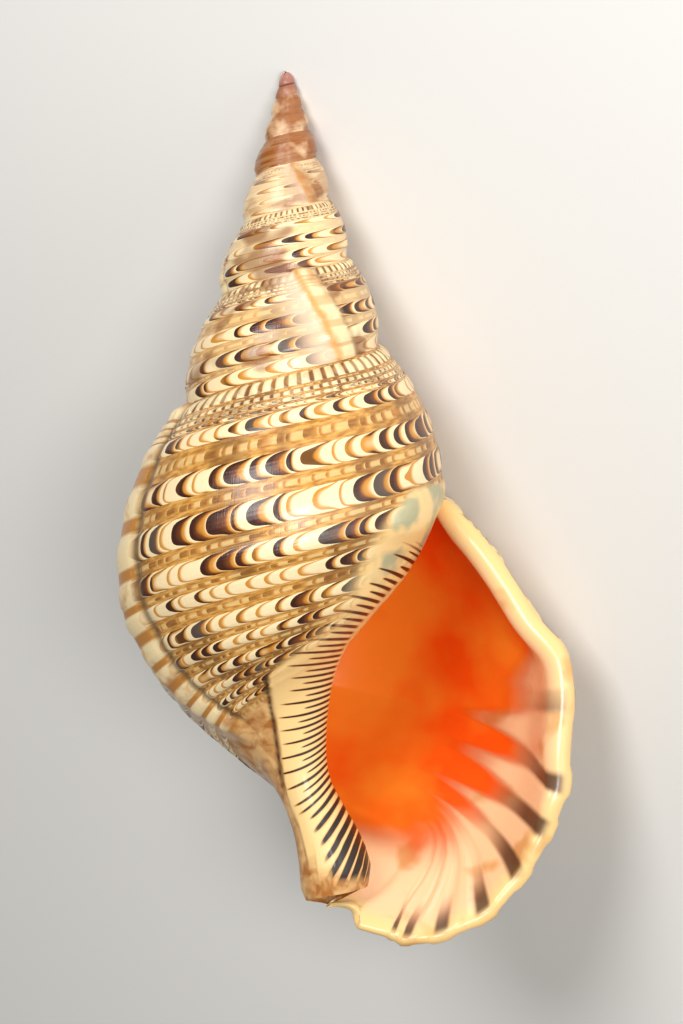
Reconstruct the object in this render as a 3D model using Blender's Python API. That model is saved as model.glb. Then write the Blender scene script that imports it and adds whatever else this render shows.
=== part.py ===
"""A triton shell at rest with its aperture up: one natural piece, so one solid, hollow and open at the lip.

The wall is a ribbon wound round the shell's axis. Its age counts turns back from the outer lip. Across the ribbon
runs the whorl coordinate: 0 at the suture above a whorl, 1 at the suture below it, 2 where the base meets the
neck and 3 at the tip of the siphonal canal.
"""

import bpy
import numpy as np

MM = 0.001
CREAM = (0.78, 0.56, 0.32, 1.0)

# Driving dimensions in millimetres, depths measured down the axis from the apex
LIP_SUTURE = (57.6, 177.6)  # radius and depth of the suture where it meets the lip
NEXT_SUTURE = ((57.6, 68.4, 91.2), (177.6, 222.0, 276.0))  # where a next whorl would sit, at 0, 0.5 and 1 turn
APEX_RISE = 5.6  # how far the spiral's own centre lies above the worn apex
TIP_DEPTH = 340.4
CANAL_SHIFT = 8.0  # how far the canal stands off the axis, towards the lip
CANAL_TOP, CANAL_LENGTH = 281.6, 44.0
CANAL_FLOOR = np.array([1.2, 1.6, -1.2])  # from the canal's tip to the end of its floor
APEX_DOME = 4.6  # height of the round cap on the oldest turn
WALL = 3.0
RIM = 10.5  # thickness of the lip's rolled rim beside the suture
LOW_RIM = 4.2  # and round the base
RIB_HEIGHT = 1.2
TOOTH = 0.8  # how many times higher again a rib stands where it ends in a tooth of the lip
PAD = 0.9  # height of the pads inside the lip, between the ribs' ends
BEAD_HEIGHT = 1.9
VARIX_HEIGHT = 4.0
FLARE_TURNS = 0.15

# The direction, in the standing frame, that points up when the shell lies on its body, spire and lip
REST_UP = (-0.599, -0.360, 0.715)

# Winding and mesh
TURNS = 8.5
COLUMNS = 62  # to each turn
THROAT_TURNS = 0.72
BEADS = 31  # to each turn

# Whorl coordinates of the spiral ribs. For each varix, its age in turns, and how far it lags down a whorl's height
RIBS = (0.28, 0.53, 0.76, 0.945, 1.12, 1.25, 1.38, 1.5, 1.6, 1.7, 1.82)
RIB_HALF_WIDTHS = (0.045, 0.065, 0.07, 0.05, 0.04, 0.038, 0.036, 0.033, 0.03, 0.03, 0.03)
BEAD_ROW = (0.06, 0.06)  # middle and half width
VARICES = ((0.518, 0.01), (1.18, 0.07), (1.8, 0.07), (2.47, 0.07), (3.13, 0.07), (3.8, 0.07), (4.47, 0.07))

# Radius and depth of the base and neck, for the lip before it flares, the left side and the inner lip
BASE_KNOTS = np.array([1.12, 1.25, 1.38, 1.5, 1.6, 1.7, 1.82, 2.0, 2.2, 2.4, 2.6, 2.8, 2.92, 2.97, 3.0])
LIP_BASE = np.array([
    (89.6, 286.0), (78.0, 302.4), (68.4, 312.4), (56.8, 322.4), (48.0, 329.2), (40.4, 334.0), (33.6, 338.8),
    (22.8, 344.8), (11.6, 347.6), (7.6, 344.8), (4.8, 342.8), (2.0, 341.2), (0.8, 340.8), (0.3, 340.5), (0.0, 340.4),
])
SIDE_BASE = np.array([
    (66.8, 227.6), (60.0, 240.8), (54.8, 248.8), (47.6, 256.8), (41.6, 262.0), (36.0, 266.0), (31.2, 269.2),
    (24.0, 274.4), (17.6, 280.0), (11.6, 294.4), (10.1, 309.6), (10.0, 325.6), (8.4, 336.0), (5.6, 339.2), (0.0, 340.4),
])
INNER_BASE = np.array([
    (52.4, 186.4), (47.2, 197.2), (42.8, 204.4), (37.2, 210.8), (32.8, 215.2), (28.0, 220.4), (24.4, 224.4),
    (20.0, 229.6), (12.4, 245.6), (8.9, 267.6), (9.6, 290.4), (15.6, 312.8), (16.8, 328.0), (12.8, 336.0), (0.0, 340.4),
])
# How far the flare carries the lip's edge outwards and down, at these whorl coordinates
FLARE_KNOTS = np.array([0.0, 0.5, 1.0, 1.12, 1.25, 1.38, 1.5, 1.6, 1.7, 1.82, 2.0, 2.2, 3.0])
FLARE = np.array([
    (0.0, 0.0), (6.0, -2.0), (16.8, -6.8), (14.8, 6.8), (14.6, 9.2), (11.0, 18.0), (7.8, 23.6), (-2.0, 24.8),
    (-9.2, 21.2), (-7.8, 14.0), (-5.7, 5.2), (0.0, 0.0), (0.0, 0.0),
])
UPPER_KNOTS = np.array([0.0, 0.12, 0.28, 0.42, 0.6, 0.8, 1.0])
# How far a whorl bulges, as a share of its height
BODY_BULGE = 0.117
SPIRE_BULGE = 0.12


def ramp(x, low, high):
    """A smooth step from 0 at low to 1 at high."""
    t = np.clip((x - low) / (high - low), 0, 1)
    return t * t * (3 - 2 * t)


def through(knots, values, x):
    """A cubic curve through values at knots (last axis), with slopes from the neighbours, read at x."""
    step = np.diff(knots)
    secant = np.diff(values, axis=-1) / step
    inner = (secant[..., :-1] * step[1:] + secant[..., 1:] * step[:-1]) / (step[1:] + step[:-1])
    slope = np.concatenate([secant[..., :1], inner, secant[..., -1:]], axis=-1)
    k = np.clip(np.searchsorted(knots, x, side="right") - 1, 0, len(step) - 1)
    t = (x - knots[k]) / step[k]
    low, high = values[..., k], values[..., k + 1]
    return (
        low * (1 + 2 * t) * (1 - t) ** 2
        + high * t * t * (3 - 2 * t)
        + slope[..., k] * step[k] * t * (1 - t) ** 2
        - slope[..., k + 1] * step[k] * t * t * (1 - t)
    )


def suture(age):
    """Radius and depth of the suture: both shrink as exponentials of the age, a little faster near the lip."""
    old = np.maximum(age, 0)
    radius = LIP_SUTURE[0] * np.exp(-0.336 * old - 0.333 * (1 - np.exp(-old)))
    depth = LIP_SUTURE[1] * np.exp(-0.335 * old - 0.13 * (1 - np.exp(-old / 0.8)))
    ahead = np.maximum(-age, 0)
    found = []
    for value, (now, half, full) in zip((radius, depth), NEXT_SUTURE):
        a, b = np.log(half / now), np.log(full / now)
        found.append(value * np.exp((4 * a - b) * ahead + (2 * b - 4 * a) * ahead**2))
    return found


def section(age, whorl):
    """Radius from the canal's centre line and depth of the plain wall, as arrays of age by whorl coordinate."""
    age = np.asarray(age, float)
    (r0, d0), (r1, d1) = suture(age), suture(age - 1)
    chord = np.hypot(r1 - r0, d1 - d0)
    bulge = chord * (SPIRE_BULGE + (BODY_BULGE - SPIRE_BULGE) / (1 + (age / 1.2) ** 6))
    across = UPPER_KNOTS[None]
    swell = bulge[:, None] * (4 * across * (1 - across)) ** 0.85
    radius = r0[:, None] + (r1 - r0)[:, None] * across + swell * ((d1 - d0) / chord)[:, None]
    depth = d0[:, None] + (d1 - d0)[:, None] * across - swell * ((r1 - r0) / chord)[:, None]
    near = np.minimum(age, 1)[:, None]
    weights = ((1 - near) * (1 - 2 * near), 4 * near * (1 - near), near * (2 * near - 1))
    shrink = [ahead / now for ahead, now in zip(suture(np.maximum(age, 1)), suture(np.array(1.0)))]
    base = [
        (weights[0] * LIP_BASE[:, k] + weights[1] * SIDE_BASE[:, k] + weights[2] * INNER_BASE[:, k])
        * shrink[k][:, None]
        for k in (0, 1)
    ]
    knots = np.concatenate([UPPER_KNOTS, BASE_KNOTS])
    flared = (np.clip(1 - age / FLARE_TURNS, 0, 1) ** 2.2)[:, None]
    found = []
    for k, upper in enumerate((radius, depth)):
        values = through(knots, np.concatenate([upper, base[k]], axis=1), whorl)
        found.append(values + flared * through(FLARE_KNOTS, FLARE[:, k], whorl))
    return found[0], found[1] - APEX_RISE


def placed(age, radius, depth):
    """Turns radius and depth at an age into X (right), Y (up to the apex) and Z (to the viewer)."""
    angle = -2 * np.pi * age
    shift = CANAL_SHIFT * ramp(depth, CANAL_TOP - APEX_RISE, CANAL_TOP - APEX_RISE + CANAL_LENGTH)
    return np.stack([radius * np.cos(angle) + shift, -depth, radius * np.sin(angle)], axis=-1)


def surface(age, whorl):
    """Points of the plain outer wall and its outward normals, on a grid of age by whorl coordinate."""
    age = np.asarray(age, float)

    def at(a, w):
        return placed(a[:, None], *section(a, w))

    points = at(age, whorl)
    small = 1e-3
    along = at(age + small, whorl) - at(age - small, whorl)
    high = np.minimum(whorl + small, 3)
    down = at(age, high) - at(age, high - 2 * small)
    normal = np.cross(down, along)
    length = np.linalg.norm(normal, axis=-1, keepdims=True)
    return points, normal / np.maximum(length, 1e-9)


def on_ribs(whorl):
    """1 on the spiral ribs and 0 between them, none on the neck."""
    found = 0
    for middle, half in zip(RIBS, RIB_HALF_WIDTHS):
        found = found + 1 - ramp(abs(whorl - middle) / half, 0.55, 1.15)
    return found * (1 - ramp(whorl, 1.85, 1.95))


def relief(age, whorl):
    """Height of ribs, beads and varices over the plain wall, with the ribs raised to teeth at the lip."""
    age, whorl = np.asarray(age, float)[:, None], np.asarray(whorl)[None]
    size = np.clip(suture(age)[0] / LIP_SUTURE[0], 0.04, 1)
    tooth = 1 + TOOTH * (1 - ramp(age, 0.0, 0.035)) * ramp(whorl, 0.9, 1.15)
    height = RIB_HEIGHT * on_ribs(whorl) * tooth
    middle, half = BEAD_ROW
    beads = 0.6 + 0.4 * np.cos(2 * np.pi * BEADS * age)
    height = height + BEAD_HEIGHT * (1 - ramp(abs(whorl - middle) / half, 0.4, 1.1)) * beads
    for at, lag in VARICES:
        off = age - at - lag * (whorl - 0.5)
        hump = np.where(off > 0, np.exp(-((off / 0.04) ** 2)), np.exp(-((off / 0.014) ** 2)))
        height = height + VARIX_HEIGHT * hump * (1 - ramp(whorl, 1.8, 2.15))
    return height * size * (1 - ramp(age, TURNS - 1.2, TURNS - 0.2))


def outer_wall(age, whorl):
    points, normal = surface(age, whorl)
    end = (1 - ramp(np.asarray(whorl), 2.8, 3.0))[None, :, None]
    return points + normal * relief(age, whorl)[..., None] * end


def cavity_ring(age, angle, rows, inner_rows):
    """One loop of the hollow, in two parts: down inside the wall, and down the columella beside it.

    The wall's part is the outer wall moved inwards by its thickness. The columella's part is the wall one turn
    older. They meet below the suture and at the floor of the canal, which leaves the tip as the age grows.
    The rim is half a circle: the wall goes round it by an angle, as far forwards as it is thick.
    """
    turn = angle / np.pi
    deeper = ramp(age, 0.0, 0.1)
    last = 3 - 1.15 * deeper
    reach = np.where(rows < 1.4, rows, 1.4 + (rows - 1.4) * (last - 1.4) / 1.6)
    points, normal = surface(np.array([age]), reach)
    points, normal = points[0], normal[0]
    rim = LOW_RIM + (RIM - LOW_RIM) * (1 - ramp(rows, 1.0, 1.45)) - (LOW_RIM - WALL) * ramp(rows, 1.3, 2.0)
    thick = WALL + (rim - WALL) * (1 - ramp(age, 0.0, 0.045))
    thick = thick + PAD * turn * (1 - on_ribs(rows)) * ramp(rows, 0.9, 1.1) * (1 - ramp(age, 0.02, 0.1))
    thick = (thick * (1 - 0.55 * ramp(rows, 2.2, 3.0)))[:, None]
    ahead = points - surface(np.array([age + 0.003]), reach)[0][0]
    ahead /= np.maximum(np.linalg.norm(ahead, axis=-1, keepdims=True), 1e-6)
    round_by = thick / 2 * (1 - np.cos(angle))
    forward = thick / 2 * np.sin(angle) * (1 - ramp(rows, 2.0, 3.0))[:, None]
    wall = points - normal * round_by + ahead * forward
    tooth = RIB_HEIGHT * (1 + TOOTH) * on_ribs(rows) * ramp(rows, 0.9, 1.15) * (1 - ramp(age, 0.0, 0.02))
    wall += (normal + 0.5 * ahead) * (tooth * (1 + np.cos(angle)) / 2)[:, None]
    drop = 0.06 * turn
    end = 3 - 0.02 * turn - 0.06 * deeper
    older = 1 + max(age, 0.009 * turn)
    inner = surface(np.array([older]), 1 + drop + (inner_rows - 1) * (end - 1 - drop) / 2)[0][0]
    tip = np.array([CANAL_SHIFT, -(TIP_DEPTH - APEX_RISE), 0.0]) + CANAL_FLOOR * turn
    meet = tip * (1 - deeper) + (inner[-1] + np.array([0.0, -1.0, 0.0])) * deeper
    top = ramp(rows, 0.0, 0.16)[:, None]
    bottom = ramp(rows, 2.45, 3.0)[:, None]
    wall = (inner[0] * (1 - top) + wall * top) * (1 - bottom) + meet * bottom
    bottom = ramp(inner_rows, 2.85, 3.0)[:, None]
    return wall, inner * (1 - bottom) + meet * bottom


def rows_at(age):
    """The whorl coordinates of a column's points: every rib's crest and trough low down, few near the apex."""
    if age <= 1:
        return LAST_ROWS
    if age <= 2:
        return LAST_ROWS[LAST_ROWS <= 1]
    if age <= 3:
        return np.array([0, 0.06, 0.28, 0.405, 0.53, 0.645, 0.76, 0.9, 1])
    return np.array([0, 0.08, 0.35, 0.7, 1]) if age <= 4.5 else np.array([0, 0.12, 0.6, 1])


TROUGHS = [(a + b) / 2 for a, b in zip(RIBS, RIBS[1:]) if not a < 1 < b]
LAST_ROWS = np.array(sorted({0, 0.06, 0.14, *RIBS, *TROUGHS, 1, 1.9, 2.1, 2.35, 2.6, 2.8, 2.92, 3}))
RIM_ANGLES = (np.pi / 3, 2 * np.pi / 3, np.pi)
THROAT_AGES = (0.03, 0.06, 0.1, 0.15, 0.2, 0.26, 0.33, 0.41, 0.5, 0.58, 0.65, THROAT_TURNS)


def stitched(left, right):
    """Triangles between two neighbouring columns, each a list of (whorl coordinate, vertex)."""
    faces, a, b = [], 0, 0
    while a < len(left) - 1 or b < len(right) - 1:
        down = a < len(left) - 1 and (b == len(right) - 1 or left[a + 1][0] <= right[b + 1][0] + 1e-9)
        if down and b < len(right) - 1 and abs(left[a + 1][0] - right[b + 1][0]) < 1e-9:
            faces.append((left[a][1], right[b][1], right[b + 1][1], left[a + 1][1]))
            a, b = a + 1, b + 1
        elif down:
            faces.append((left[a][1], right[b][1], left[a + 1][1]))
            a += 1
        else:
            faces.append((left[a][1], right[b][1], right[b + 1][1]))
            b += 1
    return [tuple(dict.fromkeys(face)) for face in faces if len(set(face)) > 2]


def key_of(i, row):
    """The name of a column's vertex: at and past a full turn, the suture below is the suture above, a turn on."""
    if row == 3:
        return "tip"
    return (i - COLUMNS, 0.0) if row == 1 and i >= COLUMNS else (i, float(row))


def shell_mesh():
    """Points and faces of the whole closed shell: the ribbon, the apex, the lip's edge and the hollow."""
    points, number, faces = [], {}, []

    def add(key, place):
        number[key] = len(points)
        points.append(place)

    def column(i, rows):
        return [(row, number[key_of(i, row)]) for row in rows]

    def joined(ring, fresh):
        count = len(ring)
        return [(ring[k], ring[(k + 1) % count], fresh[(k + 1) % count], fresh[k]) for k in range(count)]

    last_column = int(TURNS * COLUMNS)
    for i in range(last_column + 1):
        rows = rows_at(i / COLUMNS)
        for row, place in zip(rows, outer_wall([i / COLUMNS], rows)[0]):
            if key_of(i, row) not in number:
                add(key_of(i, row), place)
    for i in range(last_column):
        right = rows_at((i + 1) / COLUMNS)
        left = LAST_ROWS[LAST_ROWS <= 1] if i == COLUMNS else rows_at(i / COLUMNS)
        faces += stitched(column(i, left), column(i + 1, right))

    rim = [number[(i, 0.0)] for i in range(last_column - COLUMNS, last_column + 1)]
    rim += [v for _, v in column(last_column, rows_at(TURNS))[1:-1]]
    edge = np.array(points)[rim]
    middle = edge.mean(0)
    start = len(points)
    points.extend(middle + (edge - middle) * 0.72 + np.array([0, APEX_DOME * 0.65, 0]))
    cap = list(range(start, len(points)))
    add("apex", middle + np.array([0, APEX_DOME, 0]))
    faces += [face[::-1] for face in joined(rim, cap)]
    faces += [(cap[k], number["apex"], cap[(k + 1) % len(cap)]) for k in range(len(cap))]

    inner_rows = LAST_ROWS[LAST_ROWS >= 1]
    ring = [number[key_of(0, row)] for row in LAST_ROWS]
    ring += [number[(COLUMNS, float(row))] for row in inner_rows[-2:0:-1]]
    for age, angle in [*((0, angle) for angle in RIM_ANGLES), *((age, np.pi) for age in THROAT_AGES)]:
        wall, inner = cavity_ring(age, angle, LAST_ROWS, inner_rows)
        start = len(points)
        points.extend([*wall, *inner[-2:0:-1]])
        fresh = list(range(start, len(points)))
        faces += joined(ring, fresh)
        ring = fresh
    add("end", np.array(points)[ring].mean(0))
    faces += [(ring[k], ring[(k + 1) % len(ring)], number["end"]) for k in range(len(ring))]
    return np.array(points), [face[::-1] for face in faces]


def at_rest(points):
    """Turns the standing shell onto its back, apex towards +Y, and sets the middle of its foot at the origin."""
    up = np.array(REST_UP) / np.linalg.norm(REST_UP)
    ahead = np.array([0.0, 1.0, 0.0]) - up[1] * up
    ahead /= np.linalg.norm(ahead)
    turned = points @ np.stack([np.cross(ahead, up), ahead, up], axis=1)
    low, high = turned.min(0), turned.max(0)
    return turned - np.array([*(low + high)[:2] / 2, low[2]])


def shell_material():
    made = bpy.data.materials.new("glossy_aragonite_shell")
    made.use_nodes = True
    surface_node = made.node_tree.nodes["Principled BSDF"]
    surface_node.inputs["Base Color"].default_value = CREAM
    surface_node.inputs["Roughness"].default_value = 0.28
    surface_node.inputs["Metallic"].default_value = 0.0
    return made


def shell_object():
    points, faces = shell_mesh()
    mesh = bpy.data.meshes.new("shell")
    mesh.from_pydata((at_rest(points) * MM).tolist(), [], faces)
    mesh.materials.append(shell_material())
    mesh.validate()
    mesh.shade_smooth()
    piece = bpy.data.objects.new("shell", mesh)
    bpy.context.collection.objects.link(piece)


for old in list(bpy.data.objects):
    bpy.data.objects.remove(old, do_unlink=True)
shell_object()
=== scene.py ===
"""A triton shell lying on a pale floor with its aperture up, under soft studio light.

The shell is one closed surface on the same spiral as its solid. Its age counts turns back from the outer lip,
and its whorl coordinate runs 0 at the suture above, 1 at the suture below, 2 at the neck and 3 at the canal's tip.
"""

import bpy
import numpy as np
from mathutils import Matrix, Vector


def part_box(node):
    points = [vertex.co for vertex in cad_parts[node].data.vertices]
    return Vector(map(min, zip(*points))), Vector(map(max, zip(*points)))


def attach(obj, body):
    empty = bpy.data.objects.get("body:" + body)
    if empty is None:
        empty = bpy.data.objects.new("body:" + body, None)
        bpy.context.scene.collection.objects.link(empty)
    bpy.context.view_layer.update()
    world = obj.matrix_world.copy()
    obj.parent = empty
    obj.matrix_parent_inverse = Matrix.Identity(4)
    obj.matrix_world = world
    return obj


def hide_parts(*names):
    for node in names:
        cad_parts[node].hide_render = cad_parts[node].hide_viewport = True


MM = 0.001

# The spiral, in millimetres, depths measured down the axis from the apex
LIP_SUTURE = (57.6, 177.6)
NEXT_SUTURE = ((57.6, 68.4, 91.2), (177.6, 222.0, 276.0))
APEX_RISE = 5.6
TIP_DEPTH = 340.4
CANAL_SHIFT = 8.0
CANAL_TOP, CANAL_LENGTH = 281.6, 44.0
CANAL_FLOOR = np.array([1.2, 1.6, -1.2])
FLARE_TURNS = 0.15
REST_UP = (-0.599, -0.360, 0.715)

# Thickness of the wall and relief on it, in millimetres
WALL = 3.0
RIM = 10.5
LOW_RIM = 4.2
RIB_HEIGHT = 0.9
TOOTH = 0.45
PAD = 0.9
CORD_HEIGHT = 0.6
BEAD_HEIGHT = 1.9
VARIX_HEIGHT = 4.0
CALLUS = 0.8
KNOB = 2.6  # the inner lip's lump under the suture
APEX_DOME = 4.6

# The mesh and the winding
TURNS = 8.5
FINE_TURNS = 3  # turns from the lip that carry every row
COLUMNS = 280  # to each turn
THROAT_TURNS = 0.72
RIM_RINGS = 9  # from the outer wall round the rim
THROAT_RINGS = 44  # from the rim to the end of the hollow
THROAT_CROWDING = 1.35  # the power that sets them closer together near the rim
APEX_ARCS = (15, 30, 45, 60, 75)  # degrees up the dome that closes the apex
BEADS = 52  # to each turn
CORD_BUMPS = 1.4  # to each bead
CRESCENTS = 74  # to a turn at the lip
CRESCENT_GROWTH = 0.6  # how fast that number falls, to each turn back

# Spiral ribs: whorl coordinate of the middle, half width
RIBS = (
    (0.28, 0.045), (0.53, 0.065), (0.76, 0.07), (0.945, 0.05), (1.12, 0.04), (1.25, 0.038), (1.38, 0.036),
    (1.5, 0.033), (1.6, 0.03), (1.7, 0.03), (1.82, 0.03),
)
BEAD_ROW = (0.055, 0.04)
CORDS = ((0.1325, 0.0125), (0.1725, 0.0125), (0.211, 0.011))
# For each varix, its age in turns, and how far it lags down a whorl's height
VARICES = (
    (0.518, 0.01), (1.18, 0.07), (1.8, 0.07), (2.47, 0.07), (3.13, 0.07), (3.8, 0.07), (4.47, 0.07), (5.1, 0.07),
)
GROOVE = 0.042  # turns from a varix back to the groove behind it
# The colours of a varix, the painted shade in its groove and its crest: turns behind the varix, and width in turns
VARIX_MARKS = ((0.012, 0.024), (GROOVE, 0.005), (-0.004, 0.007))

# Radius and depth of the base and neck: the lip before its flare, the left side and the inner lip
BASE_KNOTS = np.array([1.12, 1.25, 1.38, 1.5, 1.6, 1.7, 1.82, 2.0, 2.2, 2.4, 2.6, 2.8, 2.92, 2.97, 3.0])
LIP_BASE = np.array([
    (89.6, 286.0), (78.0, 302.4), (68.4, 312.4), (56.8, 322.4), (48.0, 329.2), (40.4, 334.0), (33.6, 338.8),
    (22.8, 344.8), (11.6, 347.6), (7.6, 344.8), (4.8, 342.8), (2.0, 341.2), (0.8, 340.8), (0.3, 340.5), (0.0, 340.4),
])
SIDE_BASE = np.array([
    (66.8, 227.6), (60.0, 240.8), (54.8, 248.8), (47.6, 256.8), (41.6, 262.0), (36.0, 266.0), (31.2, 269.2),
    (24.0, 274.4), (17.6, 280.0), (11.6, 294.4), (10.1, 309.6), (10.0, 325.6), (8.4, 336.0), (5.6, 339.2),
    (0.0, 340.4),
])
INNER_BASE = np.array([
    (52.4, 186.4), (47.2, 197.2), (42.8, 204.4), (37.2, 210.8), (32.8, 215.2), (28.0, 220.4), (24.4, 224.4),
    (20.0, 229.6), (12.4, 245.6), (8.9, 267.6), (9.6, 290.4), (15.6, 312.8), (16.8, 328.0), (12.8, 336.0),
    (0.0, 340.4),
])
FLARE_KNOTS = np.array([0.0, 0.5, 1.0, 1.12, 1.25, 1.38, 1.5, 1.6, 1.7, 1.82, 2.0, 2.2, 3.0])
FLARE = np.array([
    (0.0, 0.0), (6.0, -2.0), (16.8, -6.8), (14.8, 6.8), (14.6, 9.2), (11.0, 18.0), (7.8, 23.6), (-2.0, 24.8),
    (-9.2, 21.2), (-7.8, 14.0), (-5.7, 5.2), (0.0, 0.0), (0.0, 0.0),
])
UPPER_KNOTS = np.array([0.0, 0.12, 0.28, 0.42, 0.6, 0.8, 1.0])
BODY_BULGE = 0.117
SPIRE_BULGE = 0.12

# Millimetres in from the rim, as the glaze reads them: far outside it, and at the hollow's end
FAR_OUTSIDE, FAR_INSIDE = -50.0, 200.0
# Down the whorl, how many millimetres the pale flare inside the lip reaches in
PALE_REACH = ((0.0, 0.7, 0.8, 1.0, 1.12, 1.3, 1.6, 2.2, 3.0), (20, 28, 38, 62, 64, 60, 58, 54, 50))
COLUMELLA_WHORL = 3.2  # stands for the whorl coordinate on the columella
# Growth and band where the mesh has no bands of its own: the apex's dome and the hollow's end
APEX_MAP, END_MAP = (200.0, 8.5), (0.0, 0.5)
THREADS = 6  # fine spiral threads to each band

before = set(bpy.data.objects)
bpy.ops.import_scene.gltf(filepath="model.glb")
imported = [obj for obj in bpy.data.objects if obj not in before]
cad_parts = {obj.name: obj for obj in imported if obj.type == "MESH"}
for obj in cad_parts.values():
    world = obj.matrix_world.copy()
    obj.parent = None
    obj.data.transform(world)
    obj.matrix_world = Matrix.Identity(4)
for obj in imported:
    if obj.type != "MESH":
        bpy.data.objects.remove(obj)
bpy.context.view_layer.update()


def ramp(x, low, high):
    """A smooth step from 0 at low to 1 at high."""
    t = np.clip((x - low) / (high - low), 0, 1)
    return t * t * (3 - 2 * t)


def bell(x, middle, width):
    """A bell curve: 1 at the middle, and 0.37 at its width to either side."""
    return np.exp(-(((x - middle) / width) ** 2))


def through(knots, values, x):
    """A cubic curve through values at knots (last axis), with slopes from the neighbours, read at x."""
    step = np.diff(knots)
    secant = np.diff(values, axis=-1) / step
    inner = (secant[..., :-1] * step[1:] + secant[..., 1:] * step[:-1]) / (step[1:] + step[:-1])
    slope = np.concatenate([secant[..., :1], inner, secant[..., -1:]], axis=-1)
    k = np.clip(np.searchsorted(knots, x, side="right") - 1, 0, len(step) - 1)
    t = (x - knots[k]) / step[k]
    low, high = values[..., k], values[..., k + 1]
    return (
        low * (1 + 2 * t) * (1 - t) ** 2
        + high * t * t * (3 - 2 * t)
        + slope[..., k] * step[k] * t * (1 - t) ** 2
        - slope[..., k + 1] * step[k] * t * t * (1 - t)
    )


def suture(age):
    """Radius and depth of the suture: both shrink as exponentials of the age, a little faster near the lip."""
    old = np.maximum(age, 0)
    radius = LIP_SUTURE[0] * np.exp(-0.336 * old - 0.333 * (1 - np.exp(-old)))
    depth = LIP_SUTURE[1] * np.exp(-0.335 * old - 0.13 * (1 - np.exp(-old / 0.8)))
    ahead = np.maximum(-age, 0)
    found = []
    for value, (now, half, full) in zip((radius, depth), NEXT_SUTURE):
        a, b = np.log(half / now), np.log(full / now)
        found.append(value * np.exp((4 * a - b) * ahead + (2 * b - 4 * a) * ahead**2))
    return found


def section(age, whorl):
    """Radius from the canal's centre line and depth of the plain wall, as arrays of age by whorl coordinate."""
    age = np.asarray(age, float)
    (r0, d0), (r1, d1) = suture(age), suture(age - 1)
    chord = np.hypot(r1 - r0, d1 - d0)
    bulge = chord * (SPIRE_BULGE + (BODY_BULGE - SPIRE_BULGE) / (1 + (age / 1.2) ** 6))
    across = UPPER_KNOTS[None]
    swell = bulge[:, None] * (4 * across * (1 - across)) ** 0.85
    radius = r0[:, None] + (r1 - r0)[:, None] * across + swell * ((d1 - d0) / chord)[:, None]
    depth = d0[:, None] + (d1 - d0)[:, None] * across - swell * ((r1 - r0) / chord)[:, None]
    near = np.minimum(age, 1)[:, None]
    weights = ((1 - near) * (1 - 2 * near), 4 * near * (1 - near), near * (2 * near - 1))
    shrink = [ahead / now for ahead, now in zip(suture(np.maximum(age, 1)), suture(np.array(1.0)))]
    base = [
        (weights[0] * LIP_BASE[:, k] + weights[1] * SIDE_BASE[:, k] + weights[2] * INNER_BASE[:, k])
        * shrink[k][:, None]
        for k in (0, 1)
    ]
    knots = np.concatenate([UPPER_KNOTS, BASE_KNOTS])
    flared = (np.clip(1 - age / FLARE_TURNS, 0, 1) ** 2.2)[:, None]
    found = []
    for k, upper in enumerate((radius, depth)):
        values = through(knots, np.concatenate([upper, base[k]], axis=1), whorl)
        found.append(values + flared * through(FLARE_KNOTS, FLARE[:, k], whorl))
    return found[0], found[1] - APEX_RISE


def placed(age, radius, depth):
    """Turns radius and depth at an age into X (right), Y (up to the apex) and Z (to the viewer)."""
    angle = -2 * np.pi * age
    shift = CANAL_SHIFT * ramp(depth, CANAL_TOP - APEX_RISE, CANAL_TOP - APEX_RISE + CANAL_LENGTH)
    return np.stack([radius * np.cos(angle) + shift, -depth, radius * np.sin(angle)], axis=-1)


def surface(age, whorl):
    """Points of the plain outer wall and its outward normals, on a grid of age by whorl coordinate."""
    age = np.asarray(age, float)

    def at(a, w):
        return placed(a[:, None], *section(a, w))

    points = at(age, whorl)
    small = 1e-3
    along = at(age + small, whorl) - at(age - small, whorl)
    high = np.minimum(whorl + small, 3)
    down = at(age, high) - at(age, high - 2 * small)
    normal = np.cross(down, along)
    length = np.linalg.norm(normal, axis=-1, keepdims=True)
    return points, normal / np.maximum(length, 1e-9)


def lanes():
    """Bands across the wall, gap and rib by turns: low and high edge, strips, share of its band and kind.

    The gap that holds whorl coordinate 1 is split there, where the next whorl's suture lies.
    """
    raised = [(BEAD_ROW, 5, "beads"), *[(cord, 3, "cord") for cord in CORDS], *[(rib, 5, "rib") for rib in RIBS]]
    found, edge = [], 0.0
    for (middle, half), strips, kind in raised:
        low, high = middle - half, middle + half
        if edge < 1 < low:
            found.append((edge, 1.0, 1, (1 - edge) / (low - edge), "gap"))
            found.append((1.0, low, 3, (low - 1) / (low - edge), "gap"))
        else:
            found.append((edge, low, 1 if low - edge < 0.03 else 4, 1.0, "gap"))
        found.append((low, high, strips, 1.0, kind))
        edge = high
    return [*found, (edge, 2.0, 3, 1.0, "gap"), (2.0, 3.0, 18, 1.0, "neck")]


LANES = lanes()
ROWS = np.concatenate([*[np.linspace(low, high, n, endpoint=False) for low, high, n, _, _ in LANES], [3.0]])
UPPER_ROWS = ROWS[ROWS < 1.001]
TOP_ROWS = np.append(UPPER_ROWS[:-1:5], 1.0)
INNER_ROWS = ROWS[ROWS >= 1]
LANE_EDGES = np.array([low for low, *_ in LANES] + [3.0])
LANE_NUMBERS = np.concatenate([[0], np.cumsum([share for *_, share, _ in LANES])])


def on_ribs(whorl):
    """1 on the spiral ribs and 0 between them, none on the neck."""
    found = sum(1 - ramp(abs(whorl - middle) / half, 0.55, 1.15) for middle, half in RIBS)
    return found * (1 - ramp(whorl, 1.85, 1.95))


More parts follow.
